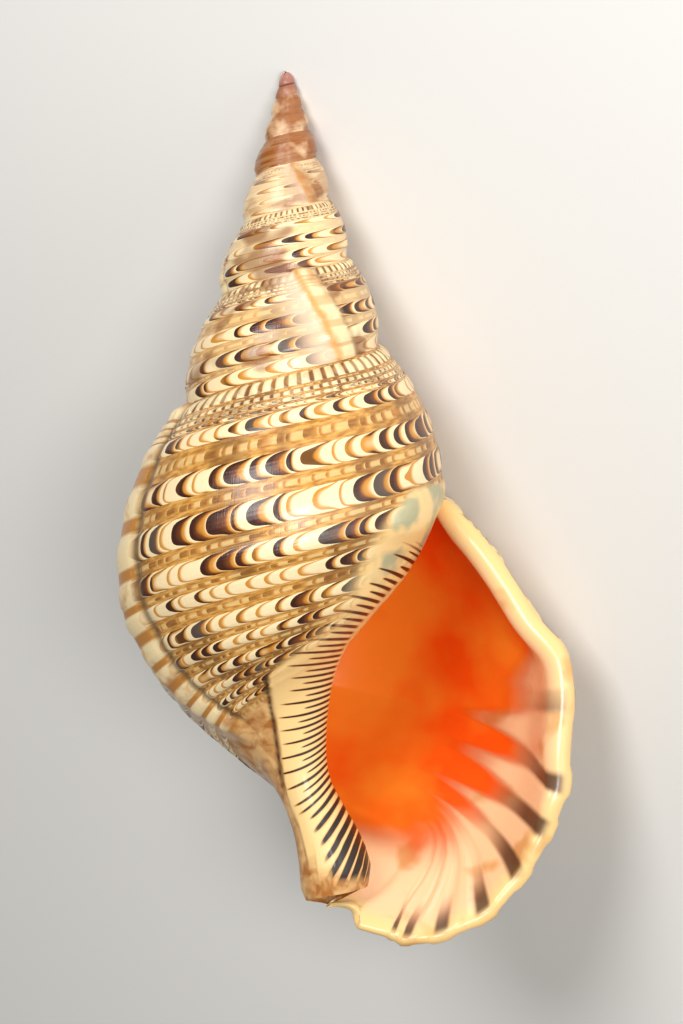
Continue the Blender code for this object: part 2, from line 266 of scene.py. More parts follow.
def relief(age, whorl):
    """Height over the plain wall: flat-topped ribs, cords, beads under the suture, and a varix every 2/3 turn.

    At the lip the ribs rise to teeth.
    """
    age, whorl = np.asarray(age, float)[:, None], np.asarray(whorl, float)[None]
    size = np.clip(suture(age)[0] / LIP_SUTURE[0], 0.04, 1)
    tooth = 1 + TOOTH * (1 - ramp(age, 0.0, 0.035)) * ramp(whorl, 0.9, 1.15)
    height = RIB_HEIGHT * on_ribs(whorl) * tooth
    for middle, half in CORDS:
        bumps = 0.7 + 0.3 * np.cos(2 * np.pi * CORD_BUMPS * BEADS * age)
        height += CORD_HEIGHT * (1 - ramp(abs(whorl - middle) / half, 0.2, 1.3)) * bumps
    middle, half = BEAD_ROW
    bumps = 0.55 + 0.45 * np.cos(2 * np.pi * BEADS * age)
    height += BEAD_HEIGHT * (1 - ramp(abs(whorl - middle) / half, 0.2, 1.3)) * bumps
    for at, lag in VARICES:
        off = age - at - lag * (whorl - 0.5)
        hump = np.where(off > 0, bell(off, 0, 0.04), bell(off, 0, 0.014))
        groove = 0.35 * bell(off, GROOVE, 0.007)
        height += VARIX_HEIGHT * (hump - groove) * (1 - ramp(whorl, 1.8, 2.15))
    height *= (1 - ramp(whorl, 2.8, 3.0)) * (1 - ramp(age, TURNS - 1.2, TURNS - 0.2))
    return height * size


def outer_wall(age, whorl):
    """The plain wall raised along its normals by its relief."""
    points, normal = surface(age, whorl)
    return points + normal * relief(age, whorl)[..., None]


def cavity_rings(ages, rows, inner_rows):
    """The hollow as rings of points, from the lip's rounded rim inwards.

    Down each ring, the first part is the outer wall moved inwards by its thickness, and the second is the
    wall one turn older, which is the columella. They meet below the suture and on the canal's floor.
    The rim is half a circle: the wall goes round it by an angle, as far forwards as it is thick.
    """
    rings = []
    for age, angle in ages:
        turn = angle / np.pi
        deeper = ramp(age, 0.0, 0.1)
        last = 3 - 1.15 * deeper
        reach = np.where(rows < 1.4, rows, 1.4 + (rows - 1.4) * (last - 1.4) / 1.6)
        points, normal = surface(np.array([age]), reach)
        points, normal = points[0], normal[0]
        rim = LOW_RIM + (RIM - LOW_RIM) * (1 - ramp(rows, 1.0, 1.45)) - (LOW_RIM - WALL) * ramp(rows, 1.3, 2.0)
        thick = WALL + (rim - WALL) * (1 - ramp(age, 0.0, 0.045))
        thick += PAD * turn * (1 - on_ribs(rows)) * ramp(rows, 0.9, 1.1) * (1 - ramp(age, 0.02, 0.1))
        thick = (thick * (1 - 0.55 * ramp(rows, 2.2, 3.0)))[:, None]
        ahead = points - surface(np.array([age + 0.003]), reach)[0][0]
        ahead /= np.maximum(np.linalg.norm(ahead, axis=-1, keepdims=True), 1e-6)
        round_by = thick / 2 * (1 - np.cos(angle))
        forward = 0.9 * thick / 2 * np.sin(angle) * (1 - ramp(rows, 2.0, 3.0))[:, None]
        wall = points - normal * round_by + ahead * forward
        tooth = RIB_HEIGHT * (1 + TOOTH) * on_ribs(rows) * ramp(rows, 0.9, 1.15) * ((1 + np.cos(angle)) / 2) ** 2
        wall += (normal + 0.5 * ahead) * (tooth * (1 - ramp(age, 0.0, 0.02)))[:, None]
        drop = 0.06 * turn
        end = 3 - 0.02 * turn - 0.06 * deeper
        older = 1 + max(age, 0.009 * turn)
        inner = surface(np.array([older]), 1 + drop + (inner_rows - 1) * (end - 1 - drop) / 2)[0][0]
        tip = np.array([CANAL_SHIFT, -(TIP_DEPTH - APEX_RISE), 0.0]) + CANAL_FLOOR * turn
        meet = tip * (1 - deeper) + (inner[-1] + np.array([0.0, -1.0, 0.0])) * deeper
        top = ramp(rows, 0.0, 0.16)[:, None]
        bottom = ramp(rows, 2.45, 3.0)[:, None]
        wall = (inner[0] * (1 - top) + wall * top) * (1 - bottom) + meet * bottom
        bottom = ramp(inner_rows, 2.85, 3.0)[:, None]
        inner = inner * (1 - bottom) + meet * bottom
        rings.append(np.concatenate([wall, inner[-2:0:-1]]))
    return np.array(rings)


# The inner lip, as the photograph frames it: a millimetre is 2.5 of its pixels
PIXEL = 0.4
APEX_PIXEL = (287.0, 70.5)
LEAN = 0.02275
KNOB_PIXEL = (408.0, 520.0)
KNOB_SPREAD = (20, 30)
CALLUS_EDGE = np.array([
    (372, 890), (361, 889), (336, 880), (317, 866), (306, 854), (299, 826), (290, 806), (283, 778), (281, 755),
    (276, 718), (271, 690), (269, 672), (284, 652), (306, 634), (324, 612), (338, 590), (352, 560), (368, 534),
    (388, 508), (408, 487), (440, 480),
], float)
COLUMELLA_EDGE = np.array([
    (560, 418), (569, 407), (586, 389), (609, 368), (627, 352), (647, 340), (672, 331), (698, 327), (721, 324),
    (748, 325), (778, 328), (796, 336), (815, 350), (835, 359), (856, 367), (881, 369),
], float)
# Where the callus can be: between these ages, and below this height in millimetres, the apex being near 0
CALLUS_AGES, CALLUS_TOP = (0.58, 1.02), -150
FAR_FROM_CALLUS = -20.0
# Down the photograph, the width in millimetres over which the glaze thins out
GLAZE_EDGE = ((480, 530, 620, 650, 675), (2.0, 7.0, 12.0, 6.0, 1.0))
# Down the photograph, how far left the folds keep their slope, in its pixels
FOLD_BEND = ((740, 850), (26, 70))
FOLD_STEPS = 24
# Down the columella: height in the photograph, slope of the folds there, and folds counted from the top
FOLDS = np.array([
    (480, -0.8, -12.0), (560, -0.7, 0.0), (600, -0.4, 6.5), (640, 0.0, 13.0), (680, 0.25, 20.0), (720, 0.6, 27.0),
    (760, 1.0, 34.0), (790, 1.4, 38.5), (820, 2.2, 42.0), (850, 3.2, 44.8), (880, 4.4, 47.0), (920, 4.6, 49.0),
])


def seen_from_front(points):
    """Where points of the standing shell fall in the photograph, in its pixels."""
    right = points[..., 0] - LEAN * points[..., 1]
    up = points[..., 1] + LEAN * points[..., 0]
    return APEX_PIXEL[0] + right / PIXEL, APEX_PIXEL[1] - up / PIXEL


def side_of(line, x, y):
    """Distance in pixels from points to a line of straight runs, positive on its right as the run is walked."""
    start, run = line[:-1], np.diff(line, axis=0)
    best = np.full(x.shape, 1e9)
    signed = np.zeros(x.shape)
    for (sx, sy), (rx, ry) in zip(start, run):
        share = np.clip(((x - sx) * rx + (y - sy) * ry) / (rx * rx + ry * ry), 0, 1)
        gap = np.hypot(x - sx - share * rx, y - sy - share * ry)
        side = np.sign(rx * (y - sy) - ry * (x - sx))
        signed = np.where(gap < best - 1e-6, gap * side, signed)
        best = np.minimum(gap, best)
    return signed


def callus_cover(points, age):
    """Millimetres inside the callus of the inner lip: its free edge is drawn from the front, on the near side."""
    x, y = seen_from_front(points)
    inside = side_of(CALLUS_EDGE, x, y) * PIXEL
    near = (age > CALLUS_AGES[0]) & (age < CALLUS_AGES[1]) & (points[..., 1] < CALLUS_TOP)
    return np.where(near, inside, FAR_FROM_CALLUS)


def fold_places(points):
    """On the columella: the fold's number, and how far left of the inner edge, in millimetres.

    A curve through the point meets the edge at the level that numbers the fold. It leaves the edge at the folds'
    slope and flattens to the left, over a bend that is longest at the foot. The level is found by small steps.
    """
    x, y = seen_from_front(points)
    level = y
    for _ in range(FOLD_STEPS):
        edge = np.interp(level, COLUMELLA_EDGE[:, 0], COLUMELLA_EDGE[:, 1])
        slope = np.interp(level, FOLDS[:, 0], FOLDS[:, 1])
        bend = np.interp(level, *FOLD_BEND)
        left = edge - x
        run = np.where(left > 0, bend * (1 - np.exp(-np.maximum(left, 0) / bend)), left)
        level = 0.7 * level + 0.3 * (y - slope * run)
    straight_across = np.interp(y, COLUMELLA_EDGE[:, 0], COLUMELLA_EDGE[:, 1])
    return np.interp(level, FOLDS[:, 0], FOLDS[:, 2]), (straight_across - x) * PIXEL


def glaze_share(points, age):
    """How much of the inner lip's glaze covers a point: it thins slowly over the ribs above, sharply below."""
    level = seen_from_front(points)[1]
    return ramp(callus_cover(points, age) / np.interp(level, *GLAZE_EDGE), 0, 1)


def glazed_wall(age, whorl):
    """The outer wall of the last turn, where the glaze drowns the ribs and swells to a knob by the suture."""
    points, normal = surface(age, whorl)
    grown = np.broadcast_to(np.asarray(age)[:, None], points.shape[:2])
    glaze = glaze_share(points, grown)
    x, y = seen_from_front(points)
    knob = KNOB * bell(x, KNOB_PIXEL[0], KNOB_SPREAD[0]) * bell(y, KNOB_PIXEL[1], KNOB_SPREAD[1])
    knob *= glaze * (1 - ramp(grown, 0.965, 0.995))
    height = relief(age, whorl) * (1 - 0.8 * glaze) + CALLUS * glaze + knob
    return points + normal * height[..., None]


def growth_cells(age):
    """Crescents counted back from the lip: fewer to a turn as the whorls get smaller, by an exponential."""
    return CRESCENTS * (1 - np.exp(-CRESCENT_GROWTH * age)) / CRESCENT_GROWTH


def growth_along(kind, age):
    """What a band's growth coordinate counts: its beads, the bumps of its cord, or the crescents."""
    return age * BEADS if kind == "beads" else age * BEADS * CORD_BUMPS if kind == "cord" else growth_cells(age)


def wound_wall(age, blocks):
    """The outer wall's points, the age and whorl coordinate of each, and their numbers.

    The numbers are a grid for each block, and the head of each column. A column ends on the head of the column
    one turn younger, so turns share their suture, and the first turn ends on one point at the canal's tip.
    """
    places, grown, down, grids, count = [], [], [], [], 0
    heads = np.zeros(len(age), int)
    for k, (first, last, rows) in enumerate(blocks):
        columns = np.arange(first, last + 1)
        own = len(rows) - 1
        wall = glazed_wall(age[columns], rows) if k == 0 else outer_wall(age[columns], rows)
        fresh = slice(0 if k == 0 else 1, None)
        made = wall[fresh, :own].reshape(-1, 3)
        grid = np.zeros(wall.shape[:2], int)
        grid[fresh, :own] = count + np.arange(len(made)).reshape(-1, own)
        count += len(made)
        places.append(made)
        grown.append(np.repeat(age[columns[fresh]], own))
        down.append(np.tile(rows[:own], len(columns[fresh])))
        if k == 0:
            places.append(wall[:1, own])
            grown.append([0.0])
            down.append([3.0])
            grid[:, own] = count
            count += 1
            heads[columns] = grid[:, 0]
            grid[COLUMNS, np.searchsorted(rows, 1.0)] = grid[0, 0]
        else:
            heads[columns[1:]] = grid[1:, 0]
            before, old_rows = grids[-1][-1], blocks[k - 1][2]
            grid[0] = before[[int(np.argmin(abs(old_rows - row))) for row in rows]]
            grid[1:, own] = heads[columns[1:] - COLUMNS]
        grids.append(grid)
    return np.concatenate(places), np.concatenate(grown), np.concatenate(down), grids, heads


def wall_faces(age, blocks, grids):
    """Faces of the outer wall, and the growth and band at each of their corners."""
    faces, maps = [], []
    for k, ((first, last, rows), grid) in enumerate(zip(blocks, grids)):
        skip = 1 if k == 2 else 0
        a, b = grid[skip:-1], grid[skip + 1:]
        quads = np.stack([a[:, :-1], a[:, 1:], b[:, 1:], b[:, :-1]], axis=-1)
        band = np.searchsorted(LANE_EDGES, (rows[:-1] + rows[1:]) / 2) - 1
        cells = np.stack([growth_along(LANES[i][4], age[first + skip:last + 1]) for i in band], axis=1)
        across = np.interp(rows, LANE_EDGES, LANE_NUMBERS)
        old, new = cells[:-1], cells[1:]
        u = np.stack([old, old, new, new], axis=-1)
        v = np.broadcast_to(np.stack([across[:-1], across[1:], across[1:], across[:-1]], axis=-1), u.shape)
        faces += quads.reshape(-1, 4).tolist()
        maps += np.stack([u, v], axis=-1).reshape(-1, 2).tolist()
    # Where many rows meet few, each wide strip takes all the points of the narrow ones beside it
    left, right = grids[1][-1], grids[2][1]
    for low, high, r0, r1 in zip(right[:-1], right[1:], TOP_ROWS[:-1], TOP_ROWS[1:]):
        between = (UPPER_ROWS >= r0 - 1e-9) & (UPPER_ROWS <= r1 + 1e-9)
        faces.append([*left[between].tolist(), int(high), int(low)])
        across = np.interp([*UPPER_ROWS[between], r1, r0], LANE_EDGES, LANE_NUMBERS)
        maps += [(growth_cells(age[FINE_TURNS * COLUMNS]), number) for number in across]
    return faces, maps


def apex_dome(points, rim):
    """The points with a dome over the apex's rim added, and the dome's faces."""
    edge, middle = points[rim], points[rim].mean(0)
    arcs = np.radians(APEX_ARCS)
    loops = [middle + (edge - middle) * np.cos(a) + np.array([0, APEX_DOME * np.sin(a), 0]) for a in arcs]
    grid = np.concatenate([[rim], len(points) + np.arange(len(arcs) * len(rim)).reshape(len(arcs), -1)])
    points = np.concatenate([points, *loops, [middle + np.array([0, APEX_DOME, 0])]])
    near, far = grid[:-1], grid[1:]
    quads = np.stack([near, np.roll(near, -1, 1), np.roll(far, -1, 1), far], axis=-1).reshape(-1, 4)
    fan = [[int(b), len(points) - 1, int(a)] for a, b in zip(grid[-1], np.roll(grid[-1], -1))]
    return points, quads[:, ::-1].tolist() + fan


def hollow(points, first):
    """The points with the hollow's rings added behind its first loop, its faces, their maps and the way in."""
    ages = [(0.0, angle) for angle in np.linspace(0, np.pi, RIM_RINGS)[1:]]
    ages += [(a, np.pi) for a in THROAT_TURNS * np.linspace(0, 1, THROAT_RINGS)[1:] ** THROAT_CROWDING]
    rings = cavity_rings(ages, ROWS, INNER_ROWS)
    loop = rings.shape[1]
    way_in = np.cumsum(np.linalg.norm(np.diff(np.concatenate([points[first][None], rings]), axis=0), axis=-1), axis=0)
    grid = np.concatenate([[first], len(points) + np.arange(rings.shape[0] * loop).reshape(-1, loop)])
    points = np.concatenate([points, rings.reshape(-1, 3), [rings[-1].mean(0)]])
    near, far = grid[:-1], grid[1:]
    quads = np.stack([near, far, np.roll(far, -1, 1), np.roll(near, -1, 1)], axis=-1).reshape(-1, 4)
    fan = [[int(a), len(points) - 1, int(b)] for a, b in zip(grid[-1], np.roll(grid[-1], -1))]
    lane = np.interp(np.concatenate([ROWS, np.full(loop - len(ROWS), 3.0)]), LANE_EDGES, LANE_NUMBERS)
    ends = np.concatenate([np.zeros((1, loop)), way_in]) / 10
    u = np.stack([ends[:-1], ends[1:], np.roll(ends[1:], -1, 1), np.roll(ends[:-1], -1, 1)], axis=-1)
    v = np.stack([lane, lane, np.roll(lane, -1), np.roll(lane, -1)], axis=-1) + 0 * u
    maps = np.stack([u, v], axis=-1).reshape(-1, 2).tolist() + [END_MAP] * (3 * loop)
    return points, quads.tolist() + fan, maps, way_in


def marks(points, grown, down, way_in):
    """What the glaze reads at each point: millimetres, turns, the photograph's pixels and shares from 0 to 1."""
    count, base = len(points), len(points) - way_in.size - 1
    rings, loop = way_in.shape
    youngest = slice(0, (COLUMNS + 1) * (len(ROWS) - 1))
    lip, lip_ages = points[youngest], grown[youngest]
    inner = np.arange(count) >= base
    outer = ~inner
    rim = np.concatenate([np.full(base, FAR_OUTSIDE), way_in.ravel(), [FAR_INSIDE]])
    rim[youngest] = np.maximum(-lip_ages * 2 * np.pi * np.hypot(lip[:, 0], lip[:, 2]), FAR_OUTSIDE)
    ring = np.concatenate([ROWS, np.full(loop - len(ROWS), COLUMELLA_WHORL)])
    whorl = np.concatenate([down[youngest], np.zeros(base - len(lip)), np.tile(ring, rings), [0]])
    fold, inward = fold_places(points)
    side = np.zeros(count)
    side[base:-1] = np.tile(np.where(np.arange(loop) < len(ROWS), 1.0, 0.0), rings)
    side = np.where(inner, np.maximum(side, ramp(-inward, 0.8, 2.5)), side)
    glaze = np.where(inner, 1.0, 0.0)
    glaze[youngest] = glaze_share(lip, lip_ages)
    level = seen_from_front(points)[1]
    # Painted shade: a thin dark line along the callus's free edge, where the gap under the raised glaze lies
    callus_gap_shade = np.zeros(count)
    callus_gap_shade[youngest] = bell(callus_cover(lip, lip_ages), -0.8, 0.7)
    callus_gap_shade *= ramp(level, 668, 680) * (1 - ramp(level, 770, 800))
    turns = np.concatenate([grown, np.full(base - len(grown), TURNS), np.zeros(count - base)])
    at, lag = np.array(VARICES).T
    off = turns[:, None] - at - lag * (np.concatenate([down, np.zeros(count - len(down))])[:, None] - 0.5)
    # The groove mark places painted shade in the groove behind each varix
    varix, groove, crest = (bell(off, middle, width).max(1) * outer for middle, width in VARIX_MARKS)
    fresh = (ramp(-off, 0.0, 0.006) * (1 - ramp(-off, 0.02, 0.08))).max(1) * outer
    return {
        "rim": rim, "glaze": glaze, "wall_side": side, "fold": fold, "inward": inward,
        "pale": rim / np.interp(whorl, *PALE_REACH), "turns": turns, "varix": varix, "groove": groove, "fresh": fresh,
        "crest": crest, "neck": ramp(whorl, 1.86, 2.0) * outer, "callus_gap_shade": callus_gap_shade, "level": level,
    }


def shell_surface():
    """One closed mesh: the ribbon of the wall, the apex, the rim and the hollow, with what the glaze reads."""
    n, total = COLUMNS, int(TURNS * COLUMNS)
    age = np.arange(total + 1) / n
    blocks = [(0, n, ROWS), (n, FINE_TURNS * n, UPPER_ROWS), (FINE_TURNS * n, total, TOP_ROWS)]
    points, grown, down, grids, heads = wound_wall(age, blocks)
    faces, maps = wall_faces(age, blocks, grids)
    points, dome = apex_dome(points, [*heads[total - n:], *grids[2][-1][1:-1]])
    first = np.concatenate([grids[0][0], grids[0][n, -2:len(ROWS) - len(INNER_ROWS):-1]])
    points, inside, inside_maps, way_in = hollow(points, first)
    maps += [APEX_MAP] * sum(len(face) for face in dome) + inside_maps
    return points, faces + dome + inside, maps, marks(points, grown, down, way_in)


def at_rest(points):
    """Lays the standing shell on its body, spire and lip, as its solid lies, apex towards +Y."""
    up = np.array(REST_UP) / np.linalg.norm(REST_UP)
    ahead = np.array([0.0, 1.0, 0.0]) - up[1] * up
    ahead /= np.linalg.norm(ahead)
    axes = np.stack([np.cross(ahead, up), ahead, up], axis=1)
    turned = points @ axes * MM
    low, high = turned.min(0), turned.max(0)
    foot = np.array([*(low + high)[:2] / 2, low[2]])
    solid_low, solid_high = (np.array(corner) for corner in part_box("shell"))
    shift = np.array([*(solid_low + solid_high)[:2] / 2, solid_low[2]]) - foot
    return turned + shift, axes, shift


def shell_piece(material):
    """The shell as one piece at rest, and the axes and shift that laid it there."""
    points, faces, maps, values = shell_surface()
    placed_points, axes, shift = at_rest(points)
    mesh = bpy.data.meshes.new("triton_shell")
    mesh.from_pydata(placed_points.tolist(), [], faces)
    layer = mesh.uv_layers.new(name="growth")
    layer.uv.foreach_set("vector", np.array(maps, np.float32).ravel())
    for name, numbers in values.items():
        field = mesh.attributes.new(name, "FLOAT", "POINT")
        field.data.foreach_set("value", numbers.astype(np.float32))
    mesh.materials.append(material)
    mesh.validate()
    mesh.shade_smooth()
    piece = bpy.data.objects.new("triton_shell", mesh)
    bpy.context.collection.objects.link(piece)
    return piece, axes, shift


def colour(code):
    """sRGB hex as linear red, green, blue and full alpha."""
    parts = np.array([int(code[k:k + 2], 16) for k in (0, 2, 4)]) / 255
    return (*np.where(parts <= 0.04045, parts / 12.92, ((parts + 0.055) / 1.055) ** 2.4).tolist(), 1.0)


def add(tree, kind, inputs=(), out=0, **settings):
    """Adds a node, sets it and fills its inputs, by order or number, from sockets, numbers or sRGB hex."""
    node = tree.nodes.new("ShaderNode" + kind)
    for name, value in settings.items():
        setattr(node, name, value)
    numbered = inputs.items() if isinstance(inputs, dict) else enumerate(inputs)
    for number, value in numbered:
        if isinstance(value, bpy.types.NodeSocket):
            tree.links.new(value, node.inputs[number])
        elif value is not None:
            node.inputs[number].default_value = colour(value) if isinstance(value, str) else value
    return node.outputs[out] if node.outputs else None


def product(tree, first, *others):
    """Sockets or numbers multiplied in turn."""
    for other in others:
        first = add(tree, "Math", [first, other], operation="MULTIPLY")
    return first


def distance(tree, value, middle):
    """How far a value is from a middle, either way."""
    return add(tree, "Math", [add(tree, "Math", [value, middle], operation="SUBTRACT")], operation="ABSOLUTE")


MIX = {"out": 2, "data_type": "RGBA"}
STEP = {"interpolation_type": "SMOOTHSTEP"}


def crescents(tree, along, across, band, bend):
    """Crescents along a rib: how dark the core is, how far the tawny shade behind it spreads, and chances.

    A cell is the whole part of the growth less the bend times the square of the way from the rib's middle,
    so each crescent bulges towards the lip. It is dark at its young edge and fades towards the old one.
    """
    middle = add(tree, "Math", [across, 2.0, -1.0], operation="MULTIPLY_ADD")
    square = product(tree, middle, middle)
    sixth = add(tree, "Math", [square, 3.0], operation="POWER")
    bow = add(tree, "Math", [sixth, 1.2, square], operation="MULTIPLY_ADD")
    bent = add(tree, "Math", [bow, -bend, along], operation="MULTIPLY_ADD")
    place = add(tree, "CombineXYZ", [along, band, 0.0])
    wander = add(tree, "TexNoise", {"Vector": place, "Scale": 0.55, "Detail": 1.0}, noise_dimensions="2D")
    bent = add(tree, "Math", [wander, 1.4, bent], operation="MULTIPLY_ADD")
    bent = add(tree, "Math", [band, 0.37, bent], operation="MULTIPLY_ADD")
    cell = add(tree, "Math", [bent], operation="FLOOR")
    way = add(tree, "Math", [bent], operation="FRACT")
    chance = add(tree, "TexWhiteNoise", {"Vector": add(tree, "CombineXYZ", [cell, band, 3.0])}, noise_dimensions="2D")
    stretch = add(tree, "VectorMath", [place, (0.3, 0.14, 1.0)], operation="MULTIPLY")
    zone = add(tree, "TexNoise", {"Vector": stretch, "Scale": 1.0, "Detail": 1.0}, noise_dimensions="2D")
    zone = add(tree, "MapRange", [zone, 0.4, 0.62, -0.28, 0.42])
    drive = add(tree, "Math", [chance, zone], operation="ADD")
    width = add(tree, "MapRange", [drive, 0.3, 0.95, 0.12, 0.82])
    inner = product(tree, width, 0.7)
    outer = add(tree, "Math", [width, 0.26], operation="ADD")
    core = add(tree, "MapRange", [way, inner, width, 1.0, 0.0], **STEP)
    shade = add(tree, "MapRange", [way, width, outer, 1.0, 0.0], **STEP)
    strong = add(tree, "MapRange", [drive, 0.3, 0.55], **STEP)
    return product(tree, core, strong), shade, chance, way, zone


def wall_colour(tree, along, lane):
    """The outside: cream ribs with chestnut crescents, fawn gaps between them, and a worn pink-grey spire."""
    turns, varix, groove, fresh, crest, neck, callus_gap_shade = (
        add(tree, "Attribute", out=2, attribute_name=name)
        for name in ("turns", "varix", "groove", "fresh", "crest", "neck", "callus_gap_shade")
    )
    band = add(tree, "Math", [lane], operation="FLOOR")
    across = add(tree, "Math", [lane], operation="FRACT")
    on_rib = add(tree, "Math", [add(tree, "Math", [band, 2.0], operation="MODULO"), 0.5], operation="GREATER_THAN")
    core, shade, chance, way, zone = crescents(tree, along, across, band, 0.38)
    dark = add(tree, "Mix", {0: add(tree, "MapRange", [way, 0.25, 0.8]), 6: "3A1606", 7: "8E4A10"}, **MIX)
    smoke = add(tree, "MapRange", [chance, 0.93, 0.94, 0.0, 0.6])
    dark = add(tree, "Mix", {0: smoke, 6: dark, 7: "5C564C"}, **MIX)
    rib = add(tree, "Mix", {0: shade, 6: "F8DFAF", 7: "CE8A2C"}, **MIX)
    rib = add(tree, "Mix", {0: core, 6: rib, 7: dark}, **MIX)
    growth = add(tree, "CombineXYZ", [along, lane, 0.0])
    streak = add(tree, "VectorMath", [growth, (0.22, 1.0, 1.0)], operation="MULTIPLY")
    streaks = add(tree, "TexNoise", {"Vector": streak, "Scale": 7.0, "Detail": 3.0}, noise_dimensions="2D")
    gap = add(tree, "Mix", {0: add(tree, "MapRange", [streaks, 0.35, 0.65]), 6: "B0742C", 7: "DCA654"}, **MIX)
    olive = add(tree, "MapRange", [zone, 0.05, 0.4, 0.0, 0.6])
    gap = add(tree, "Mix", {0: olive, 6: gap, 7: "6A421A"}, **MIX)
    often = product(tree, along, 1.3)
    core, shade, *_ = crescents(tree, often, across, add(tree, "Math", [band, 40.0], operation="ADD"), 0.6)
    off_middle = distance(tree, across, 0.5)
    ridge = add(tree, "MapRange", [off_middle, 0.08, 0.24, 0.65, 0.0], **STEP)
    riblet = add(tree, "Mix", {0: shade, 6: "EFCB88", 7: "B8752C"}, **MIX)
    riblet = add(tree, "Mix", {0: product(tree, core, 0.7), 6: riblet, 7: "54290F"}, **MIX)
    gap = add(tree, "Mix", {0: ridge, 6: gap, 7: riblet}, **MIX)
    gap = add(tree, "Mix", {0: add(tree, "MapRange", [turns, 1.2, 2.4, 0.0, 0.75]), 6: gap, 7: "F3D6A4"}, **MIX)
    bead = distance(tree, add(tree, "Math", [along], operation="FRACT"), 0.5)
    bead = add(tree, "MapRange", [bead, 0.12, 0.26, 1.0, 0.0], **STEP)
    bead = add(tree, "Mix", {0: bead, 6: "FBE2AE", 7: "83501E"}, **MIX)
    rib = add(tree, "Mix", {0: add(tree, "MapRange", [band, 2.0, 8.0, 0.75, 0.0]), 6: rib, 7: bead}, **MIX)
    wall = add(tree, "Mix", {0: on_rib, 6: gap, 7: rib}, **MIX)
    flame = add(tree, "VectorMath", [growth, (0.16, 0.1, 1.0)], operation="MULTIPLY")
    flame = add(tree, "TexNoise", {"Vector": flame, "Scale": 2.0, "Detail": 2.0}, noise_dimensions="2D")
    flame = add(tree, "MapRange", [flame, 0.54, 0.64], **STEP)
    flame = product(tree, flame, add(tree, "MapRange", [turns, 1.0, 1.4, 0.0, 0.7]))
    wall = add(tree, "Mix", {0: flame, 6: wall, 7: "7E4210"}, **MIX)
    tan = add(tree, "MapRange", [off_middle, 0.25, 0.5, 1.0, 0.0], **STEP)
    in_gap = add(tree, "Math", [1.0, on_rib], operation="SUBTRACT")
    tan = product(tree, tan, in_gap, add(tree, "MapRange", [turns, 0.7, 1.0, 1.0, 0.45]))
    bar = add(tree, "Mix", {0: tan, 6: "F6DDAA", 7: "BE7F34"}, **MIX)
    place = add(tree, "TexCoord", out=3)
    blotch = add(tree, "TexNoise", {"Vector": place, "Scale": 75.0, "Detail": 3.0})
    bar = add(tree, "Mix", {0: add(tree, "MapRange", [blotch, 0.5, 0.64, 0.0, 0.75]), 6: bar, 7: "BF7B36"}, **MIX)
    wall = add(tree, "Mix", {0: add(tree, "MapRange", [varix, 0.1, 0.6]), 6: wall, 7: bar}, **MIX)
    wall = add(tree, "Mix", {0: product(tree, fresh, 0.8), 6: wall, 7: "EFD2B2"}, **MIX)
    # Painted shade: a dark line in the groove behind each varix, stronger near the lip
    old = add(tree, "MapRange", [turns, 0.7, 1.0, 0.85, 0.35])
    wall = add(tree, "Mix", {0: product(tree, groove, old), 6: wall, 7: "6A5030"}, **MIX)
    gold = add(tree, "MapRange", [turns, 0.7, 1.0, 0.0, 0.85])
    wall = add(tree, "Mix", {0: product(tree, crest, gold), 6: wall, 7: "D89A44"}, **MIX)
    grain = add(tree, "TexNoise", {"Vector": place, "Scale": 130.0, "Detail": 4.0, "Distortion": 0.6})
    stem = add(tree, "Mix", {0: add(tree, "MapRange", [grain, 0.4, 0.62]), 6: "E8B878", 7: "B06E30"}, **MIX)
    wall = add(tree, "Mix", {0: neck, 6: wall, 7: stem}, **MIX)
    patch = add(tree, "MapRange", [distance(tree, turns, 4.8), 0.2, 0.5, 0.2, -0.03], **STEP)
    blotch = add(tree, "Math", [blotch, patch], operation="ADD")
    worn = add(tree, "Mix", {0: add(tree, "MapRange", [blotch, 0.45, 0.58]), 6: "E8C298", 7: "96500F"}, **MIX)
    wall = add(tree, "Mix", {0: add(tree, "MapRange", [turns, 3.0, 4.8, 0.0, 0.9]), 6: wall, 7: worn}, **MIX)
    # Painted shade: a dark line in the gap beside the callus's raised edge
    wall = add(tree, "Mix", {0: callus_gap_shade, 6: wall, 7: "2E1C0C"}, **MIX)
    return add(tree, "Mix", {0: add(tree, "MapRange", [turns, 7.2, 8.4, 0.0, 0.75]), 6: wall, 7: "A87068"}, **MIX)


